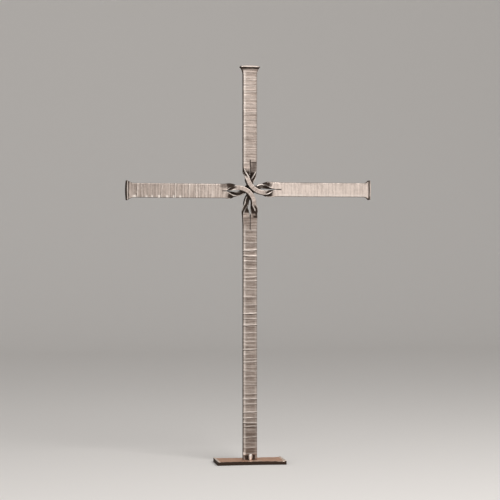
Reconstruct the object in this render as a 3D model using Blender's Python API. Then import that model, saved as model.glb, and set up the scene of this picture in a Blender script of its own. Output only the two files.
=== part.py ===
# Forged grave cross on a foot plate
#
# The cross is one forging. Each of its four arms is a flat bar that is cut along its middle
# near the knot. The two halves of an arm twist on edge, part, and run on into the halves of
# the two neighbouring arms: two strands pass in front and two behind.
# X runs along the cross arms, Z is up and the front looks along -Y.

import math
import random

import bmesh
import bpy
from mathutils import Matrix, Vector

# Overall sizes, in metres
overall_height = 0.6982
top_reach = 0.2187
side_reach = 0.2205
arm_step = 0.0016

# Flat bar
bar_width = 0.025
bar_thickness = 0.008
edge_chamfer = 0.0010
cut_chamfer = 0.0005

# Cuts along the arms, measured from the middle of the knot
top_cut = 0.053
left_cut = 0.050
right_cut = 0.056
shaft_cut = 0.069

# Eye left between the two halves of an arm once they stand on edge
top_eye = 0.0014
side_eye = 0.0030
shaft_eye = 0.0026

# Where the halves of each arm start their quarter twist, measured from the middle of the
# knot, the length of the twist, and how much narrower a half is forged in mid twist
top_twist = 0.0395
left_twist = 0.0465
right_twist = 0.0445
shaft_twist = 0.0465
twist_length = 0.0235
twist_squeeze = 0.12

# Where the strands leave the line of the arms, where they start to part into the front and
# back layers, and where they have parted
bend_start = 0.0248
layer_start = 0.0500
layer_end = 0.0180
strand_gap = 0.0024
layer_gap = 0.0006
strand_step = 0.0027

# Step by which the back half of the top arm drops behind the front one at the end of its cut
top_drop = 0.0015
drop_length = 0.0030

# Upset heads on the ends of the arms
head_width = 0.0345
head_thickness = 0.0132
head_lip = 0.0032
head_crown = 0.0011
head_round = 0.0011
long_flare = 0.0125
short_flare = 0.0090

# Hammer marks across the bars
mark_pitch = 0.0090
mark_depth = 0.00034
mark_spread = 0.00022
mark_slant = 0.05
mark_margin = 0.004

# Foot plate
plate_length = 0.121
plate_depth = 0.064
plate_thickness = 0.0065
plate_turn = math.radians(-4.5)
plate_lip = 0.0011
plate_lip_length = 0.0040
plate_waist = 0.0030
plate_mark_pitch = 0.012

# Round pin with a domed top, in front of the foot of the shaft
pin_radius = 0.0034
pin_height = 0.0108
pin_offset = -0.0004

joint_gap = 0.0003

knot_height = overall_height - top_reach
knot = Vector((0, 0, knot_height))
back = Vector((0, 1, 0))
front = -back
shaft_reach = knot_height - plate_thickness - joint_gap

# Each arm: the way it points, the side of its first half, its cut, its eye, its twist, its
# length from the knot, how far its middle line lies off the middle of the knot, and the
# length over which its end widens to the head, which is 0 on the shaft
arms = {
    "top": dict(out=Vector((0, 0, 1)), side=Vector((1, 0, 0)), cut=top_cut, eye=top_eye,
                twist=top_twist, reach=top_reach, off=0.0, flare=long_flare, seed=3),
    "left": dict(out=Vector((-1, 0, 0)), side=Vector((0, 0, 1)), cut=left_cut, eye=side_eye,
                 twist=left_twist, reach=side_reach, off=-arm_step, flare=long_flare,
                 seed=8),
    "right": dict(out=Vector((1, 0, 0)), side=Vector((0, 0, 1)), cut=right_cut, eye=side_eye,
                  twist=right_twist, reach=side_reach, off=arm_step, flare=short_flare,
                  seed=21),
    "shaft": dict(out=Vector((0, 0, -1)), side=Vector((1, 0, 0)), cut=shaft_cut, eye=shaft_eye,
                  twist=shaft_twist, reach=shaft_reach, off=0.0, flare=0.0, seed=5),
}

# Each strand: its half of a side arm, its half of an upright arm, and its layer
strands = [
    ("left", 1, "shaft", 1, front),
    ("right", -1, "top", -1, front),
    ("left", -1, "top", 1, back),
    ("right", 1, "shaft", -1, back),
]


def smooth(share):
    """Goes from 0 to 1 with level ends."""
    share = min(1.0, max(0.0, share))
    return share * share * (3 - 2 * share)


def clear_scene():
    for obj in list(bpy.data.objects):
        bpy.data.objects.remove(obj)


def metal(name, colour, roughness):
    material = bpy.data.materials.new(name)
    material.use_nodes = True
    shader = material.node_tree.nodes["Principled BSDF"]
    shader.inputs["Base Color"].default_value = (*colour, 1)
    shader.inputs["Metallic"].default_value = 1.0
    shader.inputs["Roughness"].default_value = roughness
    return material


# Bars

def bar_ring(bm, arm, along, half_width, deep_front, deep_back, chamfer, slant=0.0, bow=0.0):
    """One ring of a whole bar. It runs from the middle of the front round the first half to
    the middle of the back, and home round the second half."""
    outline = [
        (half_width - chamfer, -deep_front),
        (half_width, chamfer - deep_front),
        (half_width, deep_back - chamfer),
        (half_width - chamfer, deep_back),
    ]
    pairs = [(0.0, -deep_front), *outline, (0.0, deep_back)]
    pairs += [(-across, deep) for across, deep in reversed(outline)]
    ring = []
    for across, deep in pairs:
        place = along + slant * across - bow * (across / half_width) ** 2
        point = knot + arm["out"] * place + arm["side"] * (across + arm["off"]) + back * deep
        ring.append(bm.verts.new(point))
    return ring


def join_rings(bm, first, second):
    for i in range(len(first)):
        j = (i + 1) % len(first)
        bm.faces.new((first[i], first[j], second[j], second[i]))


def halves_of(ring):
    """The two halves of a bar's ring, each from the middle of the front by its outer side to
    the middle of the back."""
    middle = len(ring) // 2
    return ring[:middle + 1], [ring[0]] + ring[:middle - 1:-1]


def close_end(bm, ring):
    """Closes the end of a bar with faces that run from its front edge to its back edge."""
    for half in halves_of(ring):
        size = len(half) // 2
        near = half[:size]
        far = half[:size - 1:-1]
        for i in range(size - 1):
            bm.faces.new((near[i], near[i + 1], far[i + 1], far[i]))


def mark_rings(arm, start, end):
    """Distances from the knot, depths and slants of the rings of the hammer marks: each mark
    is a shallow dent between two ridges."""
    dice = random.Random(arm["seed"])
    rings = []
    along = start
    while along < end - mark_pitch * 0.7:
        pitch = min(mark_pitch * dice.uniform(0.75, 1.25), end - along)
        slant = mark_slant * dice.uniform(-1, 1)
        rings.append((along, 0.0, slant))
        rings.append((along + pitch * dice.uniform(0.35, 0.6),
                      mark_depth * dice.uniform(0.5, 1.2), slant))
        along += pitch
    rings.append((end, 0.0, 0.0))
    return rings


def head_rings(reach, flare):
    """The flared end of an arm: distance from the knot, half width, half thickness, chamfer
    and how far the outer edges lie back behind the crown."""
    half_bar = bar_width / 2
    half_head = head_width / 2
    grown = half_head - half_bar
    half_lip = head_thickness / 2
    under = reach - head_crown / 2 - head_lip
    rings = []
    for share in (0.40, 0.70, 0.90):
        rings.append((under - flare * (1 - share), half_bar + grown * share ** 2.2,
                      bar_thickness / 2, edge_chamfer, 0.0))
    rings.append((under, half_head - grown * 0.12, bar_thickness / 2, edge_chamfer,
                  head_crown * 0.2))
    rings.append((under + head_lip * 0.12, half_head, half_lip - head_round * 0.3, head_round,
                  head_crown * 0.3))
    rings.append((under + head_lip * 0.55, half_head, half_lip, head_round, head_crown * 0.4))
    rings.append((reach, half_head - head_round, half_lip - head_round, head_round * 0.5,
                  head_crown))
    return rings


def build_arm(bm, arm):
    """The bar of one arm, from the end of its cut to its far end. Returns the ring at the
    cut, which the two strands of the arm share."""
    half_depth = bar_thickness / 2
    root = bar_ring(bm, arm, arm["cut"], bar_width / 2, half_depth, half_depth, edge_chamfer)
    last = root
    end = arm["reach"] - arm["flare"] - (head_lip if arm["flare"] else 0.0)
    for along, depth, slant in mark_rings(arm, arm["cut"] + mark_margin, end):
        ring = bar_ring(bm, arm, along, bar_width / 2 + mark_spread * depth / mark_depth,
                        half_depth - depth, half_depth - depth * 0.5, edge_chamfer, slant)
        join_rings(bm, last, ring)
        last = ring
    if arm["flare"]:
        for along, wide, deep, chamfer, bow in head_rings(arm["reach"], arm["flare"]):
            ring = bar_ring(bm, arm, along, wide, deep, deep, chamfer, bow=bow)
            join_rings(bm, last, ring)
            last = ring
    close_end(bm, last)
    return root


def cut_end(bm, arm):
    """The two points inside the end of an arm's cut, front one first."""
    deep = bar_thickness / 2 - cut_chamfer
    middle = knot + arm["out"] * arm["cut"] + arm["side"] * arm["off"]
    return [bm.verts.new(middle + back * d) for d in (-deep, deep)]


# Strands

def twist_at(arm, along):
    """The turn of a half at its distance from the knot, from none to a quarter turn."""
    return smooth((arm["twist"] - along) / twist_length) * math.pi / 2


def half_size(turn):
    """Half the width and half the thickness of a half of a bar at its turn."""
    return bar_width / 4 * (1 - twist_squeeze * abs(math.sin(2 * turn))), bar_thickness / 2


def layer_at(along):
    """How far a half has moved from the plane of the arms into its layer, from 0 to 1."""
    return smooth((layer_start - along) / (layer_start - layer_end))


def half_centre(arm, sign, along):
    """A point on the middle line of a half, which leaves room for the half as it turns and
    opens the eye between it and its neighbour."""
    turn = twist_at(arm, along)
    wide, deep = half_size(turn)
    room = max(wide * math.cos(turn) + (deep - edge_chamfer) * math.sin(turn),
               (wide - edge_chamfer) * math.cos(turn) + deep * math.sin(turn))
    opening = arm["eye"] / 2 * smooth((arm["cut"] - along) / (arm["cut"] - bend_start))
    return knot + arm["out"] * along + arm["side"] * (sign * (room + opening) + arm["off"])


def strand_path(side_arm, side_sign, upright_arm, upright_sign):
    """Points along the middle line of a strand in the plane of the cross, each with its
    distance from the knot and whether it belongs to the upright arm."""
    def straight(arm, sign, upright):
        count = round((arm["cut"] - bend_start) / strand_step)
        places = [bend_start + (arm["cut"] - bend_start) * i / count for i in range(1, count)]
        return [(half_centre(arm, sign, s), s, upright) for s in places]

    start = half_centre(side_arm, side_sign, bend_start)
    end = half_centre(upright_arm, upright_sign, bend_start)
    inward = -side_arm["out"]
    outward = upright_arm["out"]
    nearest = (bar_thickness + strand_gap) / math.sqrt(8)
    middle = knot + (upright_arm["out"] - inward) * nearest
    pull = (middle - (start + end) / 2).dot(inward - outward) / 0.75
    bend = []
    steps = 2 * round(bend_start * 0.8 / strand_step)
    for i in range(steps + 1):
        t = i / steps
        point = (start * (1 - t) ** 3 + (start + inward * pull) * (3 * t * (1 - t) ** 2)
                 + (end - outward * pull) * (3 * t * t * (1 - t)) + end * t ** 3)
        arm = side_arm if t < 0.5 else upright_arm
        bend.append((point, (point - knot).dot(arm["out"]), t >= 0.5))
    first = straight(side_arm, side_sign, False)
    last = straight(upright_arm, upright_sign, True)
    return first[::-1] + bend + last


def strand_ring(bm, centre, outer, facing, size, outer_chamfer, inner_chamfer):
    """One ring of a strand: a rectangle of half a bar's width and a bar's thickness. It starts
    at the cut side of the front and runs round by the outer side."""
    wide, deep = size
    corners = [
        (inner_chamfer - wide, deep), (wide - outer_chamfer, deep),
        (wide, deep - outer_chamfer), (wide, outer_chamfer - deep),
        (wide - outer_chamfer, -deep), (inner_chamfer - wide, -deep),
        (-wide, inner_chamfer - deep), (-wide, deep - inner_chamfer),
    ]
    return [bm.verts.new(centre + outer * a + facing * f) for a, f in corners]


def build_strand(bm, side_name, side_sign, upright_name, upright_sign, layer, roots, cuts):
    side_arm = arms[side_name]
    path = strand_path(side_arm, side_sign, arms[upright_name], upright_sign)
    layer_depth = bar_width / 4 + layer_gap / 2
    drops = upright_name == "top" and layer == back
    centres = []
    for point, along, upright in path:
        share = layer_at(along)
        depth = layer_depth * share
        if drops and upright:
            depth += top_drop * (1 - share) * smooth((top_cut - along) / drop_length)
        centres.append(point + layer * depth)
    left_of_path = (-side_arm["out"]).cross(back)
    outer_sign = side_sign * round(side_arm["side"].dot(left_of_path))

    def root_half(name, sign):
        half = halves_of(roots[name])[0 if sign > 0 else 1]
        return half + cuts[name][::-1]

    rings = [root_half(side_name, side_sign)]
    for i, (_, along, upright) in enumerate(path):
        ahead = centres[min(i + 1, len(path) - 1)] - centres[max(i - 1, 0)]
        outer = (ahead.cross(back) * outer_sign).normalized()
        facing = ahead.cross(outer).normalized()
        if facing.dot(front) < 0:
            facing.negate()
        quarter = twist_at(arms[upright_name] if upright else side_arm, along)
        turn = math.pi - quarter if upright else quarter
        worn = turn / math.pi
        rings.append(strand_ring(
            bm, centres[i],
            outer * math.cos(turn) - facing * math.sin(turn),
            facing * math.cos(turn) + outer * math.sin(turn),
            half_size(turn),
            edge_chamfer + (cut_chamfer - edge_chamfer) * worn,
            cut_chamfer + (edge_chamfer - cut_chamfer) * worn,
        ))
    last = root_half(upright_name, upright_sign)
    middle = len(last) // 2
    rings.append(last[middle:] + last[:middle])
    for one, two in zip(rings, rings[1:]):
        join_rings(bm, one, two)


# Finished pieces

def finish(bm, name, material, collection, sharp_angle=28):
    bmesh.ops.recalc_face_normals(bm, faces=bm.faces)
    mesh = bpy.data.meshes.new(name)
    bm.to_mesh(mesh)
    bm.free()
    mesh.shade_smooth()
    mesh.set_sharp_from_angle(angle=math.radians(sharp_angle))
    mesh.materials.append(material)
    obj = bpy.data.objects.new(name, mesh)
    collection.objects.link(obj)
    return obj


def build_cross(material, collection):
    bm = bmesh.new()
    roots = {}
    cuts = {}
    for name, arm in arms.items():
        roots[name] = build_arm(bm, arm)
        cuts[name] = cut_end(bm, arm)
    for side_name, side_sign, upright_name, upright_sign, layer in strands:
        build_strand(bm, side_name, side_sign, upright_name, upright_sign, layer, roots, cuts)
    return finish(bm, "forged_cross", material, collection)


def build_plate(material, collection):
    """A flat bar laid on its face, turned a little under the cross. Its ends are upset to a
    low lip and its long sides draw in towards the shaft."""
    bm = bmesh.new()
    half_length = plate_length / 2
    half_depth = plate_depth / 2
    lip_start = half_length - plate_lip_length
    dice = random.Random(11)
    places = [(-half_length, -0.0012, plate_lip * 0.4), (-half_length + 0.0008, 0.0, plate_lip),
              (-half_length + plate_lip_length * 0.5, 0.0, plate_lip)]
    x = -lip_start
    while x < lip_start - plate_mark_pitch * 0.5:
        places.append((x, 0.0, 0.0))
        middle = x + plate_mark_pitch * dice.uniform(0.4, 0.6)
        places.append((middle, 0.0, -mark_depth * dice.uniform(0.4, 1.0)))
        x += plate_mark_pitch
    places += [(lip_start, 0.0, 0.0)]
    places += [(-x, shrink, lip) for x, shrink, lip in places[2::-1]]
    last = None
    for x, shrink, rise in places:
        waist = plate_waist * (1 - (x / half_length) ** 2)
        wide = half_depth - waist + shrink
        top = plate_thickness + (rise if abs(x) > lip_start else min(rise, 0.0))
        pairs = [(-wide, edge_chamfer), (-wide, top - edge_chamfer), (edge_chamfer - wide, top),
                 (wide - edge_chamfer, top), (wide, top - edge_chamfer), (wide, edge_chamfer),
                 (wide - edge_chamfer, 0.0), (edge_chamfer - wide, 0.0)]
        ring = [bm.verts.new((x, y, z)) for y, z in pairs]
        if last:
            join_rings(bm, last, ring)
        else:
            bm.faces.new(ring)
        last = ring
    bm.faces.new(last)
    turned = Matrix.Rotation(plate_turn, 3, "Z")
    bmesh.ops.rotate(bm, verts=bm.verts, cent=(0, 0, 0), matrix=turned)
    return finish(bm, "foot_plate", material, collection)


def build_pin(material, collection):
    """Turned pin with a domed top, standing on the plate against the front of the shaft."""
    bm = bmesh.new()
    outline = [(0.0, 0.0), (pin_radius, 0.0), (pin_radius, pin_height - pin_radius * 0.8)]
    for step in range(1, 5):
        turn = math.pi / 2 * step / 4
        outline.append((pin_radius * math.cos(turn),
                        pin_height - pin_radius * 0.8 * (1 - math.sin(turn))))
    points = [bm.verts.new((r, 0, z)) for r, z in outline]
    edges = [bm.edges.new(pair) for pair in zip(points, points[1:])]
    bmesh.ops.spin(bm, geom=points + edges, axis=(0, 0, 1), cent=(0, 0, 0),
                   angle=2 * math.pi, steps=24, use_merge=True)
    bmesh.ops.remove_doubles(bm, verts=bm.verts, dist=1e-6)
    place = Vector((pin_offset, -bar_thickness / 2 - pin_radius - joint_gap,
                    plate_thickness + joint_gap))
    bmesh.ops.translate(bm, vec=place, verts=bm.verts)
    return finish(bm, "fixing_pin", material, collection)


clear_scene()
parts = bpy.data.collections.new("grave_cross")
bpy.context.scene.collection.children.link(parts)
steel = metal("forged_steel", (0.46, 0.38, 0.33), 0.42)
plate_steel = metal("plate_steel", (0.34, 0.27, 0.22), 0.38)
pin_steel = metal("pin_steel", (0.58, 0.52, 0.47), 0.35)
build_cross(steel, parts)
build_plate(plate_steel, parts)
build_pin(pin_steel, parts)
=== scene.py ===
import math
import random

import bmesh
import bpy
import numpy as np
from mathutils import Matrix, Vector, noise
from mathutils.bvhtree import BVHTree


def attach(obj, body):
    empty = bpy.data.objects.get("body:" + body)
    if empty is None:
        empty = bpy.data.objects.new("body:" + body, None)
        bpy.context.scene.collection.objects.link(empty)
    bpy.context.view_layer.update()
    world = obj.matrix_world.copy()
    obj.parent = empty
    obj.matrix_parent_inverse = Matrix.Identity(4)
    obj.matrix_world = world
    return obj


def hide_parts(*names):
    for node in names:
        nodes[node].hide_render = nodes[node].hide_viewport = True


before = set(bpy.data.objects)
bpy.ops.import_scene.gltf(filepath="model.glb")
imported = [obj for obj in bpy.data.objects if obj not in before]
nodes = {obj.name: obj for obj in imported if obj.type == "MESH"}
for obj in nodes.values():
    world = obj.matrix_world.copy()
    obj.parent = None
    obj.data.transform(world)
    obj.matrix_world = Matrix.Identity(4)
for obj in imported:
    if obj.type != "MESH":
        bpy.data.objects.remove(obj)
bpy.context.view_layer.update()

# helpers

def deselectAll():
    if bpy.context.object and bpy.context.object.mode != "OBJECT":
        bpy.ops.object.mode_set(mode="OBJECT")
    bpy.ops.object.select_all(action="DESELECT")


def makeActive(piece):
    deselectAll()
    piece.select_set(True)
    bpy.context.view_layer.objects.active = piece


def copyOfSolid(nodeName, pieceName):
    # the solid's mesh is loose triangles, so the copy is merged and made quads again
    solid = nodes[nodeName]
    mesh = solid.data.copy()
    mesh.transform(solid.matrix_world)
    piece = bpy.data.objects.new(pieceName, mesh)
    bpy.context.scene.collection.objects.link(piece)
    mesh.materials.clear()
    makeActive(piece)
    bpy.ops.object.mode_set(mode="EDIT")
    bpy.ops.mesh.select_all(action="SELECT")
    bpy.ops.mesh.remove_doubles(threshold=1e-5)
    bpy.ops.mesh.tris_convert_to_quads(face_threshold=math.radians(50),
                                       shape_threshold=math.radians(60))
    bpy.ops.mesh.customdata_custom_splitnormals_clear()
    bpy.ops.object.mode_set(mode="OBJECT")
    return piece


def applyModifier(piece, kind, **settings):
    makeActive(piece)
    modifier = piece.modifiers.new(kind.lower(), kind)
    for key, value in settings.items():
        setattr(modifier, key, value)
    bpy.ops.object.modifier_apply(modifier=modifier.name)


def smoothShade(piece, angle):
    makeActive(piece)
    bpy.ops.object.shade_smooth_by_angle(angle=math.radians(angle))


def coordinates(piece):
    points = np.empty(len(piece.data.vertices) * 3)
    piece.data.vertices.foreach_get("co", points)
    return points.reshape(-1, 3)


def normals(piece):
    piece.data.update()
    found = np.empty(len(piece.data.vertices) * 3)
    piece.data.vertex_normals.foreach_get("vector", found)
    return found.reshape(-1, 3)


def movePoints(piece, points):
    piece.data.vertices.foreach_set("co", points.ravel())
    piece.data.update()


def ramp(values, low, high):
    share = np.clip((values - low) / (high - low), 0, 1)
    return share * share * (3 - 2 * share)


def keepValue(piece, name, values):
    layer = piece.data.attributes.new(name, "FLOAT", "POINT")
    layer.data.foreach_set("value", np.asarray(values, dtype=np.float32))


def noiseAt(points, size, seed=0):
    # soft noise from -1 to 1 with features of this size
    shift = Vector((seed * 7.3, seed * 3.1, seed * 5.7))
    return np.array([noise.noise(Vector(p) / size + shift) for p in points])


def hollowness(piece, reach, rays=14, seed=1):
    # share of the directions over each point that other metal blocks within reach
    mesh = bmesh.new()
    mesh.from_mesh(piece.data)
    tree = BVHTree.FromBMesh(mesh)
    mesh.free()
    dice = random.Random(seed)
    directions = []
    while len(directions) < rays:
        d = Vector([dice.uniform(-1, 1) for _ in range(3)])
        if 0.1 < d.length < 1:
            directions.append(d.normalized())
    points = coordinates(piece)
    facing = normals(piece)
    found = np.zeros(len(points))
    for i, (p, n) in enumerate(zip(points, facing)):
        n = Vector(n)
        start = Vector(p) + n * 0.0002
        hits = 0.0
        for d in directions:
            way = (d + n * 1.05).normalized()
            hit = tree.ray_cast(start, way, reach)
            if hit[0] is not None:
                hits += 1 - hit[3] / reach
        found[i] = hits / rays
    return found


def blurOverEdges(piece, values, rounds):
    edges = np.empty(len(piece.data.edges) * 2, dtype=np.int64)
    piece.data.edges.foreach_get("vertices", edges)
    a, b = edges.reshape(-1, 2).T
    count = np.bincount(np.r_[a, b], minlength=len(values))
    for _ in range(rounds):
        total = np.bincount(a, weights=values[b], minlength=len(values))
        total += np.bincount(b, weights=values[a], minlength=len(values))
        values = 0.5 * values + 0.5 * total / np.maximum(count, 1)
    return values


def bulge(piece):
    # positive on outer edges, negative in creases, in millimetres
    points = coordinates(piece)
    edges = np.empty(len(piece.data.edges) * 2, dtype=np.int64)
    piece.data.edges.foreach_get("vertices", edges)
    a, b = edges.reshape(-1, 2).T
    count = np.maximum(np.bincount(np.r_[a, b], minlength=len(points)), 1)
    middle = np.stack([
        np.bincount(a, weights=points[b, k], minlength=len(points))
        + np.bincount(b, weights=points[a, k], minlength=len(points)) for k in range(3)
    ], axis=1) / count[:, None]
    return ((points - middle) * normals(piece)).sum(axis=1) * 1000


# the forged cross

crossSizes = {
    "height": 0.6982, "topReach": 0.2187, "sideReach": 0.2205, "step": 0.0016,
    "width": 0.025, "thickness": 0.008, "edge": 0.0010, "cutEdge": 0.0005,
    "topEye": 0.0014, "sideEye": 0.0030, "shaftEye": 0.0026,
    "topCut": 0.053, "leftCut": 0.050, "rightCut": 0.056, "shaftCut": 0.069,
    "topTwist": 0.0395, "leftTwist": 0.0465, "rightTwist": 0.0445, "shaftTwist": 0.0465,
    "twistLength": 0.0235, "squeeze": 0.12,
    "bendStart": 0.0248, "layerStart": 0.0500, "layerEnd": 0.0180,
    "strandGap": 0.0024, "layerGap": 0.0006, "topDrop": 0.0015, "dropLength": 0.0030,
    "headWidth": 0.0345, "headThickness": 0.0132, "lip": 0.0032, "crown": 0.0011,
    "headRound": 0.0011, "longFlare": 0.0125, "shortFlare": 0.0090,
    "footGap": 0.0068, "rim": 0.0011,
}
hammer = {
    "slant": 0.05, "depth": 0.000075, "ringSpacing": 0.00055, "strandSpacing": 0.00075,
    # how far the marks waver, and the painted shade and highlight lines by each ridge: distance
    # from it and half width
    "waver": 0.0006, "darkOff": 0.0009, "brightOff": 0.0010, "lineWidth": 0.0009,
    # the painted highlight line along each edge: distance from the bar's middle and half width
    "rimOff": 0.0106, "rimWidth": 0.0013, "slitWidth": 0.0008,
    # the ridges between the dents: millimetres from the knot, and how plain each is, 1 to 3
    "top": [(57, 1), (72, 1), (80, 2), (92, 1), (101, 1), (112, 1), (125, 2), (137, 2), (151, 2),
            (165, 2), (174, 3), (184, 3), (189, 1), (194, 2), (199, 3), (206, 1)],
    "left": [(56, 1), (62, 1), (69, 2), (80, 2), (92, 2), (97, 2), (110, 3), (120, 1), (130, 2),
             (134, 3), (145, 2), (151, 1), (158, 3), (168, 1), (176, 1), (183, 1), (193, 2),
             (201, 3), (207, 1)],
    "right": [(60, 1), (70, 2), (77, 1), (85, 1), (92, 1), (100, 1), (106, 1), (112, 1),
              (118, 1), (125, 1), (135, 2), (141, 1), (147, 1), (156, 1), (162, 1), (171, 1),
              (181, 1), (191, 1), (201, 1), (207, 1)],
    "shaft": [(71, 2), (82, 1), (93, 2), (106, 3), (116, 3), (125, 2), (138, 2), (147, 1),
              (153, 2), (160, 2), (170, 1), (175, 2), (188, 2), (202, 2), (217, 3), (226, 2),
              (237, 3), (251, 2), (260, 1), (266, 2), (273, 1), (280, 3), (288, 1), (297, 2),
              (302, 2), (311, 1), (318, 2), (327, 1), (337, 1), (342, 2), (352, 1), (358, 2),
              (367, 3), (376, 2), (390, 3), (400, 3), (409, 3), (415, 3), (422, 1), (434, 2),
              (444, 1), (452, 2), (463, 1), (470, 1)],
    # how strong the marks are on each arm, and its tone near the knot and far out, set with
    # painted light
    "strength": {"top": 0.45, "left": 0.7, "right": 0.45, "shaft": 0.88},
    "polishAndLight": {"top": (0.42, 0.34), "left": (0.64, 0.38), "right": (0.93, 0.88),
               "shaft": (0.27, 0.31)},
    "darkFoot": (0.385, 0.415, 0.20), "frontStrandLight": 0.62,
    # the painted highlight line by the left or lower edge and by the right or upper edge, and the
    # painted shade along the right or upper edge
    "rimLines": {"top": (0.7, 0.0), "left": (0.5, 0.0), "right": (0.8, 0.0),
                 "shaft": (0.75, 0.25)},
    "rimShade": {"top": 0.35, "left": 0.3, "right": 0.38, "shaft": 0.2},
    # millimetres in from the end of each head: middle of the dark seam under the lip, patina with
    # painted shade, its half width, where the painted highlight on the lip starts and where it
    # stops, painted shade lying on the end cap beyond, then how bright that highlight is and how
    # much painted shade lies below the seam
    "heads": {"top": (4.4, 1.5, 2.3, -2.0, 0.3, 0.45), "left": (4.6, 0.8, 3.7, 1.9, 0.9, 0.0),
              "right": (3.5, 1.2, 2.2, -2.0, 0.4, 0.0)},
    # painted shade in the twists and beside the cuts, and the pin's painted shadow on the shaft
    # behind it: arm, middle along and across, half length and half width in millimetres, strength
    "shadePatches": [("top", 41.0, 7.0, 10.0, 6.5, 0.54), ("top", 49.2, 7.0, 1.3, 6.5, 0.75),
               ("top", 42.0, -6.0, 8.5, 7.5, 0.33), ("shaft", 44.0, -6.0, 7.0, 7.5, 0.36),
               ("top", 33.0, -6.0, 6.0, 7.5, 0.5), ("shaft", 34.0, -6.0, 8.0, 7.5, 0.6),
               ("shaft", 46.0, 9.5, 2.6, 4.5, 1.0), ("shaft", 38.0, 10.0, 9.0, 3.0, 0.8),
               ("left", 45.0, 9.5, 14.0, 6.0, 0.55), ("left", 35.0, 9.5, 9.0, 6.0, 0.8),
               ("right", 34.0, 8.0, 9.0, 5.0, 0.7),
               ("shaft", 469.0, -3.5, 5.0, 9.0, 1.0), ("shaft", 468.5, 5.4, 5.0, 2.6, 1.0)],
    # painted highlights by the lower edge of the left arm and at the foot, given in the same way
    "highlightSpots": [("left", 124.7, -10.4, 2.2, 2.4, 1.0), ("left", 135.2, -10.3, 2.8, 2.8, 1.2),
              ("left", 147.8, -10.3, 2.6, 2.6, 1.2), ("left", 161.8, -10.2, 2.6, 3.0, 1.2),
              ("left", 174.4, -10.4, 1.8, 2.0, 0.9), ("left", 184.3, -10.4, 2.4, 2.0, 0.9),
              ("left", 205.3, -10.4, 4.0, 2.0, 1.1), ("shaft", 462.0, -10.4, 3.2, 2.6, 1.0)],
}
knot = Vector((0, 0, crossSizes["height"] - crossSizes["topReach"]))
back = Vector((0, 1, 0))
front = -back


def armTable():
    def arm(name, out, side, reach, off, flare, seed, eye):
        return {"name": name, "out": Vector(out), "side": Vector(side), "reach": reach,
                "off": off, "flare": flare, "seed": seed, "eye": eye,
                "cut": crossSizes[name + "Cut"], "twist": crossSizes[name + "Twist"]}
    shaftReach = knot.z - crossSizes["footGap"]
    return {
        "top": arm("top", (0, 0, 1), (1, 0, 0), crossSizes["topReach"], 0.0,
                   crossSizes["longFlare"], 3, crossSizes["topEye"]),
        "left": arm("left", (-1, 0, 0), (0, 0, 1), crossSizes["sideReach"], -crossSizes["step"],
                    crossSizes["longFlare"], 8, crossSizes["sideEye"]),
        "right": arm("right", (1, 0, 0), (0, 0, 1), crossSizes["sideReach"], crossSizes["step"],
                     crossSizes["shortFlare"], 21, crossSizes["sideEye"]),
        "shaft": arm("shaft", (0, 0, -1), (1, 0, 0), shaftReach, 0.0, 0.0, 5,
                     crossSizes["shaftEye"]),
    }


arms = armTable()
armOrder = ["top", "left", "right", "shaft"]
strands = [("left", 1, "shaft", 1, front), ("right", -1, "top", -1, front),
           ("left", -1, "top", 1, back), ("right", 1, "shaft", -1, back)]


def ease(share):
    share = min(1.0, max(0.0, share))
    return share * share * (3 - 2 * share)


def halfProfile(wide, deepFront, deepBack, edge):
    # from the middle of the front by the outer side to the middle of the back
    low = edge * 0.29
    flat = wide - edge
    rim = min(crossSizes["rim"], (deepFront - edge) * 0.6)
    frontRow = [(across, -deepFront) for across in (0.0, flat * 0.3, flat * 0.6, flat - rim, flat)]
    backRow = [(across, deepBack) for across, _ in reversed(frontRow)]
    return frontRow + [(wide - low, low - deepFront), (wide, edge - deepFront),
                       (wide, edge + rim - deepFront), (wide, (deepBack - deepFront) / 2),
                       (wide, deepBack - edge - rim), (wide, deepBack - edge),
                       (wide - low, deepBack - low)] + backRow


class LoftedCross:
    # the cross's points, with the arm, distance along and distance across of each
    def __init__(self):
        self.bm = bmesh.new()
        self.facts = []

    def point(self, place, arm, along, across, deep):
        self.facts.append((armOrder.index(arm["name"]), along, across, deep))
        return self.bm.verts.new(place)

    def barRing(self, arm, along, wide, deepFront, deepBack, edge, bow=0.0):
        half = halfProfile(wide, deepFront, deepBack, edge)
        pairs = half + [(-across, deep) for across, deep in half[-2:0:-1]]
        ring = []
        for across, deep in pairs:
            place = along - bow * (across / wide) ** 2
            at = knot + arm["out"] * place + arm["side"] * (across + arm["off"]) + back * deep
            ring.append(self.point(at, arm, place, across, deep))
        return ring

    def join(self, first, second):
        for i in range(len(first)):
            j = (i + 1) % len(first)
            self.bm.faces.new((first[i], first[j], second[j], second[i]))


def halvesOf(ring):
    middle = len(ring) // 2
    return ring[:middle + 1], [ring[0]] + ring[:middle - 1:-1]


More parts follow.
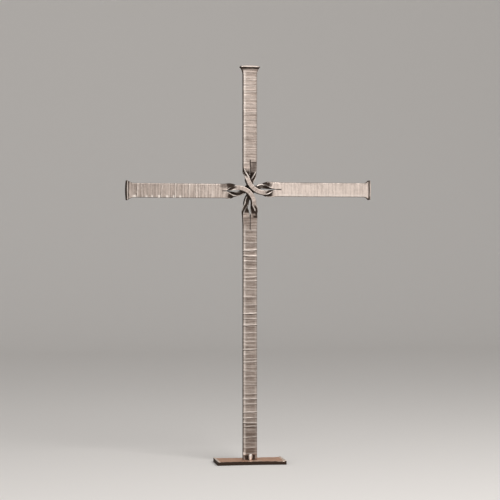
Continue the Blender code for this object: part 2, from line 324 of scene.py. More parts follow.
def headRings(reach, flare):
    halfBar = crossSizes["width"] / 2
    halfHead = crossSizes["headWidth"] / 2
    grown = halfHead - halfBar
    halfLip = crossSizes["headThickness"] / 2
    halfDepth = crossSizes["thickness"] / 2
    lip = crossSizes["lip"]
    under = reach - crossSizes["crown"] / 2 - lip
    soft = crossSizes["headRound"]
    rings = []
    for step in range(1, 11):
        share = step / 10
        deep = halfDepth + (halfLip - halfDepth) * 0.10 * share ** 4
        rings.append((under - flare * (1 - share), halfBar + grown * 0.88 * share ** 2.2,
                      deep, crossSizes["edge"], crossSizes["crown"] * 0.2 * share))
    fillet = halfLip - halfDepth
    rings.append((under + lip * 0.02, halfHead - grown * 0.05, halfDepth + fillet * 0.35,
                  crossSizes["edge"], crossSizes["crown"] * 0.25))
    for turn in (0, 30, 60, 90):
        a = math.radians(turn)
        rings.append((under + lip * 0.10 + soft * 0.7 * (1 - math.cos(a)),
                      halfHead - soft * 0.5 * (1 - math.sin(a)),
                      halfLip - soft * 0.7 * (1 - math.sin(a)), soft, crossSizes["crown"] * 0.35))
    for turn in (90, 60, 30, 0):
        a = math.radians(turn)
        rings.append((reach - soft * 0.8 * (1 - math.cos(a)), halfHead - soft * (1 - math.sin(a)),
                      halfLip - soft * (1 - math.sin(a)), soft, crossSizes["crown"]))
    inset = soft + crossSizes["rim"]
    inner = (halfHead - inset) / (halfHead - soft)
    rings.append((reach, halfHead - inset, halfLip - inset, soft,
                  crossSizes["crown"] * inner ** 2))
    return rings


def buildArm(loft, arm):
    half = crossSizes["thickness"] / 2
    wide = crossSizes["width"] / 2
    root = loft.barRing(arm, arm["cut"], wide, half, half, crossSizes["edge"])
    last = root
    flare = arm["flare"]
    end = arm["reach"] - flare - (crossSizes["lip"] + crossSizes["crown"] / 2 if flare else 0.0)
    count = round((end - arm["cut"]) / hammer["ringSpacing"])
    for i in range(1, count + 1):
        along = arm["cut"] + (end - arm["cut"]) * i / count
        ring = loft.barRing(arm, along, wide, half, half, crossSizes["edge"])
        loft.join(last, ring)
        last = ring
    if flare:
        for along, spread, deep, edge, bow in headRings(arm["reach"], flare):
            ring = loft.barRing(arm, along, spread, deep, deep, edge, bow)
            loft.join(last, ring)
            last = ring
    closeEnd(loft.bm, last)
    return root


def closeEnd(bm, ring):
    for half in halvesOf(ring):
        turn = len(half) // 2
        near = half[:turn]
        far = half[:turn:-1]
        for i in range(turn - 1):
            bm.faces.new((near[i], near[i + 1], far[i + 1], far[i]))
        bm.faces.new((near[-1], half[turn], far[-1]))


def cutEnd(loft, arm):
    # points inside the end of a cut, from the back to the front
    deep = crossSizes["thickness"] / 2
    edge = crossSizes["cutEdge"]
    inner = deep - edge - crossSizes["rim"]
    places = [deep - edge * 0.29, deep - edge, inner, 0.0, -inner, edge - deep,
              edge * 0.29 - deep]
    middle = knot + arm["out"] * arm["cut"] + arm["side"] * arm["off"]
    return [loft.point(middle + back * d, arm, arm["cut"], 0.0, d) for d in places]


def twistAt(arm, along):
    return ease((arm["twist"] - along) / crossSizes["twistLength"]) * math.pi / 2


def layerAt(along):
    start = crossSizes["layerStart"]
    return ease((start - along) / (start - crossSizes["layerEnd"]))


def halfSize(turn):
    wide = crossSizes["width"] / 4 * (1 - crossSizes["squeeze"] * abs(math.sin(2 * turn)))
    return wide, crossSizes["thickness"] / 2


def halfCentre(arm, sign, along):
    turn = twistAt(arm, along)
    wide, deep = halfSize(turn)
    edge = crossSizes["edge"]
    room = max(wide * math.cos(turn) + (deep - edge) * math.sin(turn),
               (wide - edge) * math.cos(turn) + deep * math.sin(turn))
    opening = arm["eye"] / 2 * ease((arm["cut"] - along) / (arm["cut"] - crossSizes["bendStart"]))
    return knot + arm["out"] * along + arm["side"] * (sign * (room + opening) + arm["off"])


def strandPath(sideArm, sideSign, uprightArm, uprightSign):
    bend = crossSizes["bendStart"]
    spacing = hammer["strandSpacing"]

    def straight(arm, sign, upright):
        count = round((arm["cut"] - bend) / spacing)
        places = [bend + (arm["cut"] - bend) * i / count for i in range(1, count)]
        return [(halfCentre(arm, sign, s), s, upright) for s in places]

    start = halfCentre(sideArm, sideSign, bend)
    end = halfCentre(uprightArm, uprightSign, bend)
    inward = -sideArm["out"]
    outward = uprightArm["out"]
    nearest = (crossSizes["thickness"] + crossSizes["strandGap"]) / math.sqrt(8)
    middle = knot + (uprightArm["out"] - inward) * nearest
    pull = (middle - (start + end) / 2).dot(inward - outward) / 0.75
    curve = []
    steps = 2 * round(bend * 0.8 / spacing)
    for i in range(steps + 1):
        t = i / steps
        at = (start * (1 - t) ** 3 + (start + inward * pull) * (3 * t * (1 - t) ** 2)
              + (end - outward * pull) * (3 * t * t * (1 - t)) + end * t ** 3)
        arm = sideArm if t < 0.5 else uprightArm
        curve.append((at, (at - knot).dot(arm["out"]), t >= 0.5))
    first = straight(sideArm, sideSign, False)
    last = straight(uprightArm, uprightSign, True)
    return first[::-1] + curve + last


def strandProfile(wide, deep, outerEdge, innerEdge):
    lowOuter = outerEdge * 0.29
    lowInner = innerEdge * 0.29
    left = innerEdge - wide
    right = wide - outerEdge
    rim = crossSizes["rim"]
    row = [left, left + rim, (left + right) / 2, right - rim, right]
    outer = deep - outerEdge
    inner = deep - innerEdge
    return ([(a, deep) for a in row]
            + [(wide - lowOuter, deep - lowOuter), (wide, outer), (wide, outer - rim),
               (wide, 0.0), (wide, rim - outer), (wide, -outer),
               (wide - lowOuter, lowOuter - deep)]
            + [(a, -deep) for a in reversed(row)]
            + [(lowInner - wide, lowInner - deep), (-wide, -inner), (-wide, rim - inner),
               (-wide, 0.0), (-wide, inner - rim), (-wide, inner),
               (lowInner - wide, deep - lowInner)])


def buildStrand(loft, sideName, sideSign, uprightName, uprightSign, layer, roots, cuts):
    sideArm = arms[sideName]
    uprightArm = arms[uprightName]
    path = strandPath(sideArm, sideSign, uprightArm, uprightSign)
    layerDepth = crossSizes["width"] / 4 + crossSizes["layerGap"] / 2
    drops = uprightName == "top" and layer == back
    centres = []
    for at, along, upright in path:
        share = layerAt(along)
        depth = layerDepth * share
        if drops and upright:
            depth += (crossSizes["topDrop"] * (1 - share)
                      * ease((crossSizes["topCut"] - along) / crossSizes["dropLength"]))
        centres.append(at + layer * depth)
    leftOfPath = (-sideArm["out"]).cross(back)
    outerSign = sideSign * round(sideArm["side"].dot(leftOfPath))

    def rootHalf(name, sign):
        return halvesOf(roots[name])[0 if sign > 0 else 1] + cuts[name]

    rings = [rootHalf(sideName, sideSign)]
    for i, (_, along, upright) in enumerate(path):
        arm = uprightArm if upright else sideArm
        ahead = centres[min(i + 1, len(path) - 1)] - centres[max(i - 1, 0)]
        outer = (ahead.cross(back) * outerSign).normalized()
        facing = ahead.cross(outer).normalized()
        if facing.dot(front) < 0:
            facing.negate()
        quarter = twistAt(arm, along)
        turn = math.pi - quarter if upright else quarter
        frontLineShine = turn / math.pi
        wide, deep = halfSize(turn)
        turnedOuter = outer * math.cos(turn) - facing * math.sin(turn)
        turnedFacing = facing * math.cos(turn) + outer * math.sin(turn)
        edge, cutEdge = crossSizes["edge"], crossSizes["cutEdge"]
        profile = strandProfile(wide, deep, edge + (cutEdge - edge) * frontLineShine,
                                cutEdge + (edge - cutEdge) * frontLineShine)
        ring = []
        for a, f in profile:
            at = centres[i] + turnedOuter * a + turnedFacing * f
            offset = (at - knot).dot(arm["side"]) - arm["off"]
            ring.append(loft.point(at, arm, along, offset, (at - knot).y))
        rings.append(ring)
    last = rootHalf(uprightName, uprightSign)
    middle = len(last) // 2
    rings.append(last[middle:] + last[:middle])
    for one, two in zip(rings, rings[1:]):
        loft.join(one, two)


def dentTable(arm):
    # start, length, slant, place of the deepest point, depth and plainness of each dent
    dice = random.Random(arm["seed"])
    dents = []
    ridges = hammer[arm["name"]]
    for (start, plain), (end, nextPlain) in zip(ridges, ridges[1:] + [(ridges[-1][0] + 9, 1)]):
        length = (end - start) / 1000
        depth = min(hammer["depth"] * (plain + nextPlain + 1), length * 0.04)
        dents.append((start / 1000, length, hammer["slant"] * dice.uniform(-1, 1),
                      dice.uniform(0.4, 0.6), depth, plain / 3))
    return dents


def reliefAndPaintedLight(facts, points, facing):
    # the dents' heights, and the painted shade, dark flecks, painted highlights and light levels
    # kept for the material
    height, shadeAndFlecks, paintedHighlight, polishAndLight, twisted = (np.zeros(len(facts)) for _ in range(5))
    waver = noiseAt(points, 0.006, 9) * hammer["waver"]
    flecks = ramp(noiseAt(points, 0.0020, 31), 0.25, 0.55)
    ragged = noiseAt(points, 0.004, 17)
    uneven = 0.75 + 0.5 * noiseAt(points, 0.005, 12)
    for i, name in enumerate(armOrder):
        arm = arms[name]
        own = np.where(facts[:, 0] == i)[0]
        along = facts[own, 1]
        across = facts[own, 2]
        local = np.zeros(len(own))
        dark = np.zeros(len(own))
        bright = np.zeros(len(own))
        # painted shade and painted highlight beside each ridge, on the sides that light would
        # shade and light
        darkSide = -1 if name == "right" else 1
        for start, length, slant, lowest, depth, plain in dentTable(arm):
            off = along - start - slant * across + waver[own]
            at = off / length
            inside = (at > 0) & (at < 1)
            warped = np.where(at < lowest, at / lowest / 2,
                              0.5 + (at - lowest) / (1 - lowest) / 2)
            local[inside] -= (depth * (1 - np.abs(2 * warped - 1) ** 2.4))[inside]
            fromDark = (off - darkSide * hammer["darkOff"]) / hammer["lineWidth"]
            fromBright = (off + darkSide * hammer["brightOff"]) / hammer["lineWidth"]
            dark = np.maximum(dark, plain * np.exp(-fromDark ** 2))
            bright = np.maximum(bright, plain * np.exp(-fromBright ** 2))
        # painted shade in the slit where the arm is cut
        slit = (np.exp(-(across / hammer["slitWidth"]) ** 2)
                * ramp(arm["cut"] + 0.002 - along, 0.0, 0.003) * ramp(along, 0.034, 0.040))
        strength = hammer["strength"][name]
        height[own] = local * min(1.0, 0.15 + 0.85 * strength)
        shade = hammer["rimShade"][name] * ramp(across, 0.0096, 0.0108)
        shade *= ramp(along, arm["cut"] - 0.008, arm["cut"])
        # painted shade: the dark lines by the ridges, the slit and the shade along the upper edge
        shadeAndFlecks[own] = np.maximum.reduce([dark * uneven[own] * strength, slit, shade])
        lines = sum(share * np.exp(-((sign * across - hammer["rimOff"]) / hammer["rimWidth"]) ** 2)
                    for share, sign in zip(hammer["rimLines"][name], (-1, 1)))
        lines *= ramp(along, arm["cut"] - 0.012, arm["cut"])
        if name == "left":  # its painted rim highlight shows only at the ridges
            lines *= np.minimum(bright * 1.8, 1.0)
        # painted highlights: the bright lines by the ridges and along the edges
        paintedHighlight[own] = np.maximum(bright * strength, lines) * uneven[own]
        if name in hammer["heads"]:
            middle, halfWidth, lipStart, lipStop, shine, shadeBelowSeam = hammer["heads"][name]
            # the seam under the lip is patina with painted shade, the lip gets a painted
            # highlight, and the end cap, the flanks and the band below the seam get painted shade
            inside = (arm["reach"] - along) * 1000 + waver[own] * 1500
            seam = np.exp(-((inside - middle) / halfWidth) ** 2)
            shadeUnderSeam = shadeBelowSeam * np.exp(-((inside - middle - 2.5) / 3.0) ** 2)
            cap = 1 - ramp(inside, lipStop - 0.35, lipStop + 0.35)
            lip = shine * (1 - ramp(inside, lipStart - 0.35, lipStart + 0.35)) * (1 - cap)
            paintedHighlight[own] = np.maximum(paintedHighlight[own] * (1 - seam), lip)
            sideways = np.abs(facing[own] @ np.array(arm["side"]))
            flank = (0.85 * ramp(sideways, 0.2, 0.55)
                     * ramp(along, arm["reach"] - 0.013, arm["reach"] - 0.009))
            shadeAndFlecks[own] = np.maximum.reduce([shadeAndFlecks[own], seam, cap, flank, shadeUnderSeam])
        nearKnot, farOut = hammer["polishAndLight"][name]
        polishAndLight[own] = nearKnot + (farOut - nearKnot) * ramp(along, arm["cut"], arm["reach"])
        # painted shade: the shaft grows darker towards its foot
        if name == "shaft":
            start, end, drop = hammer["darkFoot"]
            polishAndLight[own] -= drop * ramp(along, start, end)
        # painted light and shade: bright strands in front, dark scale with painted shade on the
        # ones behind, darkest halfway round each twist
        turned = np.array([twistAt(arm, place) for place in along]) / (math.pi / 2)
        inFront = ramp(-facts[own, 3], 0.0, 0.004) * (1 - ramp(along, 0.020, 0.032))
        behind = (1 - inFront) * turned
        twisted[own] = 0.12 * turned + 0.55 * behind + 2.9 * turned * (1 - turned)
        polishAndLight[own] += (hammer["frontStrandLight"] - polishAndLight[own]) * inFront
        shadeAndFlecks[own] = np.maximum(shadeAndFlecks[own], 0.42 * flecks[own] * inFront)
    for target, patches in ((shadeAndFlecks, hammer["shadePatches"]), (paintedHighlight, hammer["highlightSpots"])):
        for name, alongMiddle, acrossMiddle, halfLength, halfWidth, strength in patches:
            own = np.where(facts[:, 0] == armOrder.index(name))[0]
            far = np.maximum(np.abs(facts[own, 1] * 1000 - alongMiddle) / halfLength,
                             np.abs(facts[own, 2] * 1000 - acrossMiddle) / halfWidth)
            far += 0.16 * ragged[own]
            if target is paintedHighlight:  # the back has no painted highlight spots
                far += (facts[own, 3] > 0) * 2.0
            target[own] = np.maximum(target[own], strength * (1 - ramp(far, 0.45, 1.2)))
    # the narrow sides are dented only lightly
    height *= 0.25 + 0.75 * ramp(np.abs(facing[:, 1]), 0.3, 0.8)
    return {"height": height, "shadeAndFlecks": shadeAndFlecks, "paintedHighlight": paintedHighlight, "polishAndLight": polishAndLight,
            "twisted": np.minimum(twisted, 1.0)}


def buildCross():
    loft = LoftedCross()
    roots = {}
    cuts = {}
    for name, arm in arms.items():
        roots[name] = buildArm(loft, arm)
        cuts[name] = cutEnd(loft, arm)
    for sideName, sideSign, uprightName, uprightSign, layer in strands:
        buildStrand(loft, sideName, sideSign, uprightName, uprightSign, layer, roots, cuts)
    bmesh.ops.recalc_face_normals(loft.bm, faces=loft.bm.faces)
    mesh = bpy.data.meshes.new("hammeredCross")
    loft.bm.to_mesh(mesh)
    loft.bm.free()
    piece = bpy.data.objects.new("hammeredCross", mesh)
    bpy.context.scene.collection.objects.link(piece)
    facts = np.array(loft.facts)
    points = coordinates(piece)
    facing = normals(piece)
    relief = reliefAndPaintedLight(facts, points, facing)
    height = np.minimum(relief.pop("height") + 0.00010 * noiseAt(points, 0.010, 3), 0.0)
    movePoints(piece, points + facing * height[:, None])
    for name, values in relief.items():
        keepValue(piece, name, values)
    keepValue(piece, "along", facts[:, 1])
    keepValue(piece, "across", facts[:, 2])
    return piece


def keepWearAndShade(piece, reach, facing):
    # how deep in a hollow, how far out on an edge, and how squarely it faces the brushed and lit
    # side
    # the material darkens hollows and turned-away sides with scale and painted shade
    keepValue(piece, "hollow", blurOverEdges(piece, hollowness(piece, reach), 2))
    keepValue(piece, "edge", blurOverEdges(piece, bulge(piece), 1))
    keepValue(piece, "brushedAndLit", facing)


cross = buildCross()
keepWearAndShade(cross, 0.016, np.abs(normals(cross)[:, 1]))
smoothShade(cross, 40)
print("cross", len(cross.data.vertices))


# the lip, front line and corner values place painted highlights, the strip a painted reflection of
# the shaft
plateValues = {
    "length": 0.121, "depth": 0.064, "turn": -4.5, "polishAndLight": 0.48,
    "lip": (0.0052, 0.0036), "stripMiddle": 0.004, "stripHalf": 0.014, "stripShine": 0.55,
    "frontLine": (0.002, 0.004), "corner": (0.050, 0.056), "cornerDepth": (0.006, 0.010),
}
pinPolish = 0.7


def plateHighlightsAndTone(piece):
    # painted highlights on both lips, along the front edge and on the front right corner, and a
    # painted reflection of the shaft on the strip in front of it
    turn = math.radians(plateValues["turn"])
    points = coordinates(piece)
    x = points[:, 0] * math.cos(turn) + points[:, 1] * math.sin(turn)
    y = points[:, 1] * math.cos(turn) - points[:, 0] * math.sin(turn)
    up = normals(piece)[:, 2]
    upper = ramp(up, 0.2, 0.6)
    level = ramp(up, 0.5, 0.9)
    lipStart, lipStop = (plateValues["length"] / 2 - off for off in plateValues["lip"])
    lips = ramp(np.abs(x), lipStart, lipStop)
    fromStrip = (x - plateValues["stripMiddle"]) / plateValues["stripHalf"]
    strip = np.exp(-fromStrip ** 4) * ramp(-y, 0.006, 0.016) * plateValues["stripShine"]
    fromFront = plateValues["depth"] / 2 + y
    frontLineShine = 0.35 + 0.5 * ramp(x, 0.0, 0.04) + 0.3 * noiseAt(points, 0.008, 4)
    frontLine = frontLineShine * (1 - ramp(fromFront, *plateValues["frontLine"]))
    corner = (ramp(x, *plateValues["corner"])
              * (1 - ramp(fromFront, *plateValues["cornerDepth"])))
    keepValue(piece, "paintedHighlight", np.maximum.reduce([lips * upper, strip * level,
                                                 frontLine * level, corner * upper]))
    keepValue(piece, "polishAndLight", np.full(len(points), plateValues["polishAndLight"]))


plate = copyOfSolid("foot_plate", "forgedPlate")
applyModifier(plate, "SUBSURF", levels=4, render_levels=4, subdivision_type="SIMPLE")
# faces turned from the top, such as the front face, get dark scale with painted shade
keepWearAndShade(plate, 0.008, np.maximum(normals(plate)[:, 2], 0))
plateHighlightsAndTone(plate)
smoothShade(plate, 40)

pin = copyOfSolid("fixing_pin", "domedPin")
applyModifier(pin, "SUBSURF", levels=1, render_levels=1)
keepWearAndShade(pin, 0.003, np.abs(normals(pin)[:, 1]))
keepValue(pin, "polishAndLight", np.full(len(pin.data.vertices), pinPolish))
smoothShade(pin, 40)
print("plate and pin done")


# materials

def addNode(tree, kind, place, **settings):
    node = tree.nodes.new(kind)
    node.location = place
    for key, value in settings.items():
        setattr(node, key, value)
    return node


def mathNode(tree, operation, first, second, place):
    node = addNode(tree, "ShaderNodeMath", place, operation=operation)
    for i, value in enumerate((first, second)):
        if value is None:
            continue
        if isinstance(value, (int, float)):
            node.inputs[i].default_value = value
        else:
            tree.links.new(value, node.inputs[i])
    return node.outputs[0]


def rangeNode(tree, value, fromLow, fromHigh, toLow, toHigh, place):
    node = addNode(tree, "ShaderNodeMapRange", place, interpolation_type="SMOOTHSTEP")
    for i, number in enumerate((fromLow, fromHigh, toLow, toHigh)):
        node.inputs[i + 1].default_value = number
    tree.links.new(value, node.inputs[0])
    return node.outputs[0]


def mixColours(tree, share, first, second, place, blend="MIX"):
    node = addNode(tree, "ShaderNodeMix", place, data_type="RGBA", blend_type=blend)
    for socket, value in ((node.inputs[0], share), (node.inputs[6], first),
                          (node.inputs[7], second)):
        if isinstance(value, (tuple, int, float)):
            socket.default_value = value
        else:
            tree.links.new(value, socket)
    return node.outputs[2]


def forgedSkinGroup():
    # brushed steel on the raised places, bare edges and painted highlights, dark scale with
    # painted shade in the hollows, on the turned-away sides and in the twists
    group = bpy.data.node_groups.new("forgedSkin", "ShaderNodeTree")
    for name, kind, value in (("Bare and highlight", "NodeSocketColor", (0.8, 0.7, 0.6, 1)),
                              ("Bright", "NodeSocketColor", (0.6, 0.5, 0.4, 1)),
                              ("Dull", "NodeSocketColor", (0.3, 0.2, 0.2, 1)),
                              ("Scale", "NodeSocketColor", (0.03, 0.02, 0.02, 1)),
                              ("Grain size", "NodeSocketFloat", 400.0),
                              ("Line share", "NodeSocketFloat", 0.5),
                              ("Rim share", "NodeSocketFloat", 0.5),
                              ("Scale and shade cover", "NodeSocketFloat", 0.5)):
        socket = group.interface.new_socket(name, in_out="INPUT", socket_type=kind)
        socket.default_value = value
    for name, kind in (("Colour", "NodeSocketColor"), ("Roughness", "NodeSocketFloat"),
                       ("Metallic", "NodeSocketFloat"), ("Height", "NodeSocketFloat")):
        group.interface.new_socket(name, in_out="OUTPUT", socket_type=kind)
    enter = addNode(group, "NodeGroupInput", (-1600, 0))
    leave = addNode(group, "NodeGroupOutput", (1100, 0))
    place = addNode(group, "ShaderNodeTexCoord", (-1600, -300)).outputs["Object"]

    def kept(name, height):
        return addNode(group, "ShaderNodeAttribute", (-1600, height),
                       attribute_name=name).outputs["Fac"]

    def noiseNode(vector, scale, detail, at):
        node = addNode(group, "ShaderNodeTexNoise", at)
        node.inputs["Detail"].default_value = detail
        group.links.new(vector, node.inputs["Vector"])
        if isinstance(scale, (int, float)):
            node.inputs["Scale"].default_value = scale
        else:
            group.links.new(scale, node.inputs["Scale"])
        return node.outputs["Fac"]

    hollow, edge, brushedAndLit = kept("hollow", 300), kept("edge", 500), kept("brushedAndLit", 700)
    shadeAndFlecks, paintedHighlight = kept("shadeAndFlecks", 900), kept("paintedHighlight", 1100)
    polishAndLight, twisted = kept("polishAndLight", 1300), kept("twisted", 1500)
    along, across = kept("along", -800), kept("across", -1000)

    # fine hammer lines run across each bar
    lay = addNode(group, "ShaderNodeCombineXYZ", (-1150, -900))
    group.links.new(mathNode(group, "MULTIPLY", along, 620.0, (-1350, -800)), lay.inputs[0])
    group.links.new(mathNode(group, "MULTIPLY", across, 24.0, (-1350, -1000)), lay.inputs[1])
    group.links.new(mathNode(group, "MULTIPLY", brushedAndLit, 1.5, (-1350, -1200)), lay.inputs[2])
    fineLines = noiseNode(lay.outputs[0], 1.0, 2.5, (-950, -900))
    blotches = noiseNode(place, 60.0, 5.0, (-1250, -300))
    grain = noiseNode(place, enter.outputs["Grain size"], 4.0, (-1250, -600))

    # the tone of the rubbed metal, from dull to bright, raised or lowered by the painted light
    # level on the piece
    mottled = rangeNode(group, blotches, 0.35, 0.65, 0, 1, (-950, -300))
    speckled = rangeNode(group, grain, 0.35, 0.7, 0, 1, (-950, -600))
    lined = rangeNode(group, fineLines, 0.36, 0.64, 0, 1, (-750, -900))
    clouds = mathNode(group, "ADD", mathNode(group, "MULTIPLY", mottled, 0.55, (-750, -300)),
                      mathNode(group, "MULTIPLY", speckled, 0.45, (-750, -500)), (-550, -400))
    toneMix = addNode(group, "ShaderNodeMix", (-350, -500))
    group.links.new(enter.outputs["Line share"], toneMix.inputs[0])
    group.links.new(clouds, toneMix.inputs[2])
    group.links.new(lined, toneMix.inputs[3])
    tone = mathNode(group, "MULTIPLY_ADD", toneMix.outputs[0], 0.52, (-350, -300))
    tone.node.inputs[2].default_value = -0.26
    tone = mathNode(group, "ADD", tone, polishAndLight, (-250, -300))
    tone.node.use_clamp = True
    metal = mixColours(group, tone, enter.outputs["Dull"], enter.outputs["Bright"], (-150, -200))

    # bare metal on the worn rims, and painted highlights where the piece keeps them
    facing = rangeNode(group, brushedAndLit, 0.25, 0.60, 0, 1, (-1250, 900))
    rims = mathNode(group, "MULTIPLY", rangeNode(group, edge, 0.01, 0.05, 0, 1, (-1250, 500)),
                    facing, (-950, 600))
    rimShare = mathNode(group, "MAXIMUM", enter.outputs["Rim share"], twisted, (-750, 1100))
    bareRims = mathNode(group, "MULTIPLY", rims, rimShare, (-550, 900))
    bareAndHighlightShare = mathNode(group, "MAXIMUM", bareRims,
                         mathNode(group, "MULTIPLY", paintedHighlight, 0.95, (-550, 1100)), (-350, 1000))
    metal = mixColours(group, bareAndHighlightShare, metal, enter.outputs["Bare and highlight"], (50, -100))

    # dark scale with painted shade on the turned-away sides, in the hollows, in the twists and
    # where painted shade is kept
    sides = rangeNode(group, brushedAndLit, 0.70, 0.93, 1, 0, (-1250, 700))
    caves = rangeNode(group, hollow, 0.10, 0.40, 0, 1, (-1250, 300))
    sideScaleAndShade = mathNode(group, "MULTIPLY", sides, enter.outputs["Scale and shade cover"], (-950, 750))
    sideScaleAndShade = mathNode(group, "MAXIMUM", sideScaleAndShade, twisted, (-850, 850))
    cover = mathNode(group, "SUBTRACT", sideScaleAndShade, bareAndHighlightShare, (-450, 700))
    cover = mathNode(group, "MAXIMUM", cover, caves, (-350, 600))
    cover = mathNode(group, "MAXIMUM", cover, shadeAndFlecks, (-150, 700))
    jitter = mathNode(group, "MULTIPLY_ADD", blotches, 0.5, (-350, 300))
    jitter.node.inputs[2].default_value = -0.25
    cover = mathNode(group, "ADD", cover, jitter, (50, 500))
    cover = rangeNode(group, cover, 0.10, 0.80, 0, 1, (250, 400))
    colour = mixColours(group, cover, metal, enter.outputs["Scale"], (500, 200))
    group.links.new(colour, leave.inputs["Colour"])
    rough = mathNode(group, "ADD", rangeNode(group, cover, 0, 1, 0.44, 0.72, (500, 0)),
                     mathNode(group, "MULTIPLY", speckled, 0.12, (500, -150)), (700, 0))
    group.links.new(rough, leave.inputs["Roughness"])
    group.links.new(rangeNode(group, cover, 0, 1, 1.0, 0.0, (500, -300)),
                    leave.inputs["Metallic"])
    relief = mathNode(group, "ADD", mathNode(group, "MULTIPLY", grain, 0.4, (500, -500)),
                      mathNode(group, "MULTIPLY", fineLines, 1.2, (500, -700)), (700, -500))
    group.links.new(relief, leave.inputs["Height"])
    return group


skinGroup = forgedSkinGroup()


def skinMaterial(name, look):
    material = bpy.data.materials.new(name)
    material.use_nodes = True
    tree = material.node_tree
    shader = tree.nodes["Principled BSDF"]
    shader.inputs["Specular IOR Level"].default_value = 0.2
    skin = addNode(tree, "ShaderNodeGroup", (-500, 200), node_tree=skinGroup)
    for socket, key in (("Bare and highlight", "bareAndHighlight"), ("Bright", "bright"), ("Dull", "dull"),
                        ("Scale", "scale")):
        skin.inputs[socket].default_value = (*look[key], 1)
    for socket, key in (("Grain size", "grainSize"), ("Line share", "lineShare"),
                        ("Rim share", "rimShare"), ("Scale and shade cover", "scaleAndShadeCover")):
        skin.inputs[socket].default_value = look[key]
    bump = addNode(tree, "ShaderNodeBump", (-250, -200))
    bump.inputs["Strength"].default_value = 0.6
    bump.inputs["Distance"].default_value = look["bumpDepth"]
    tree.links.new(skin.outputs["Height"], bump.inputs["Height"])
    tree.links.new(bump.outputs["Normal"], shader.inputs["Normal"])
    for socket, goal in (("Colour", "Base Color"), ("Roughness", "Roughness"),
                         ("Metallic", "Metallic")):
        tree.links.new(skin.outputs[socket], shader.inputs[goal])
    return material


# the bare colour also serves the painted highlights, and the warm tint is partly a painted
# reflection of warm surroundings
crossColoursAndLight = {
    "bareAndHighlight": (0.955, 0.873, 0.81), "bright": (0.815, 0.705, 0.638),
    "dull": (0.195, 0.148, 0.123), "scale": (0.035, 0.022, 0.0155),
    "grainSize": 420.0, "lineShare": 0.6, "rimShare": 0.12, "scaleAndShadeCover": 1.0,
    "bumpDepth": 0.0005,
}
# the plate is the same steel as the cross; its copper colours are a painted reflection of warm
# surroundings
plateColoursAndReflection = {
    "bareAndHighlight": (0.97, 0.84, 0.73), "bright": (0.93, 0.57, 0.39),
    "dull": (0.66, 0.38, 0.25), "scale": (0.034, 0.019, 0.012),
    "grainSize": 380.0, "lineShare": 0.0, "rimShare": 0.15, "scaleAndShadeCover": 1.0,
    "bumpDepth": 0.0003,
}
pinFinish = {
    "bareAndHighlight": (0.90, 0.84, 0.79), "bright": (0.88, 0.82, 0.77),
    "dull": (0.70, 0.63, 0.58), "scale": (0.10, 0.07, 0.05),
    "grainSize": 500.0, "lineShare": 0.0, "rimShare": 0.5, "scaleAndShadeCover": 0.4,
    "bumpDepth": 0.0001,
}
cross.data.materials.append(skinMaterial("hammeredSteel", crossColoursAndLight))
plate.data.materials.append(skinMaterial("plateSteel", plateColoursAndReflection))
pin.data.materials.append(skinMaterial("pinSteel", pinFinish))

for piece, node, slot in ((cross, "forged_cross", "forged_steel"),
                          (plate, "foot_plate", "plate_steel"),
                          (pin, "fixing_pin", "pin_steel")):
    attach(piece, "root")
    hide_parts(node)
print("materials done")


# floor, light and camera

studio = {
    "floorColour": (0.84, 0.82, 0.80, 1),
    "worldColour": (0.50, 0.49, 0.48, 1),
    "worldStrength": 0.75,
    "lightColour": (1.0, 0.98, 0.96),
    "lightTarget": (0, 0, 0.38),
    # azimuth, elevation, distance, diameter and power
    "lights": {"keyLight": (18, 42, 2.5, 1.5, 42), "leftLight": (-45, -5, 2.1, 0.6, 9)},
    "cameraAzimuth": -13.0,
    "cameraDistance": 3.07,
    "cameraHeight": 0.3745,
    "frameWidth": 0.8785,
    "lookX": 0.0005,
}


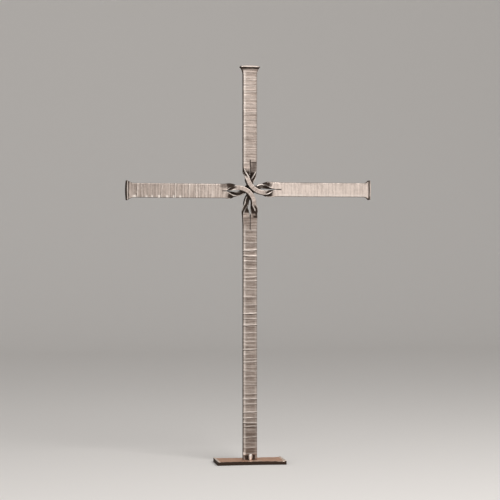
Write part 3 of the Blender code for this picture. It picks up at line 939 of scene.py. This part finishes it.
def buildFloor():
    # the far edge of the floor turns up into a plain wall
    bpy.ops.mesh.primitive_plane_add(size=14, location=(0, -2.5, 0))
    floor = bpy.context.object
    floor.name = "paleFloor"
    bpy.ops.object.mode_set(mode="EDIT")
    bpy.ops.mesh.select_mode(type="VERT")
    bpy.ops.mesh.select_all(action="DESELECT")
    bpy.ops.object.mode_set(mode="OBJECT")
    for vertex in floor.data.vertices:
        vertex.select = vertex.co.y > 0
    bpy.ops.object.mode_set(mode="EDIT")
    bpy.ops.mesh.extrude_region_move(TRANSFORM_OT_translate={"value": (0, 0, 6)})
    bpy.ops.object.mode_set(mode="OBJECT")
    applyModifier(floor, "BEVEL", width=1.2, segments=12, limit_method="ANGLE")
    floor.data.shade_smooth()
    material = bpy.data.materials.new("palePaint")
    material.use_nodes = True
    shader = material.node_tree.nodes["Principled BSDF"]
    shader.inputs["Base Color"].default_value = studio["floorColour"]
    shader.inputs["Roughness"].default_value = 0.9
    floor.data.materials.append(material)


def addLight(name, azimuth, elevation, distance, diameter, power):
    a = math.radians(azimuth)
    e = math.radians(elevation)
    way = Vector((math.sin(a) * math.cos(e), -math.cos(a) * math.cos(e), math.sin(e)))
    data = bpy.data.lights.new(name, "AREA")
    data.shape = "DISK"
    data.size = diameter
    data.energy = power
    data.color = studio["lightColour"]
    light = bpy.data.objects.new(name, data)
    light.location = Vector(studio["lightTarget"]) + way * distance
    light.rotation_euler = (-way).to_track_quat("-Z", "Y").to_euler()
    bpy.context.scene.collection.objects.link(light)


def addCamera():
    a = math.radians(studio["cameraAzimuth"])
    way = Vector((math.sin(a), -math.cos(a), 0))
    target = Vector((studio["lookX"], 0, studio["cameraHeight"]))
    data = bpy.data.cameras.new("camera")
    data.sensor_width = 36
    data.lens = 36 * studio["cameraDistance"] / studio["frameWidth"]
    camera = bpy.data.objects.new("camera", data)
    camera.location = target + way * studio["cameraDistance"]
    camera.rotation_euler = (-way).to_track_quat("-Z", "Y").to_euler()
    bpy.context.scene.collection.objects.link(camera)
    bpy.context.scene.camera = camera


buildFloor()
world = bpy.data.worlds.new("studioAir")
world.use_nodes = True
background = world.node_tree.nodes["Background"]
background.inputs["Color"].default_value = studio["worldColour"]
background.inputs["Strength"].default_value = studio["worldStrength"]
bpy.context.scene.world = world
for name, values in studio["lights"].items():
    addLight(name, *values)
addCamera()
bpy.context.scene.view_settings.view_transform = "Standard"
print("studio done")
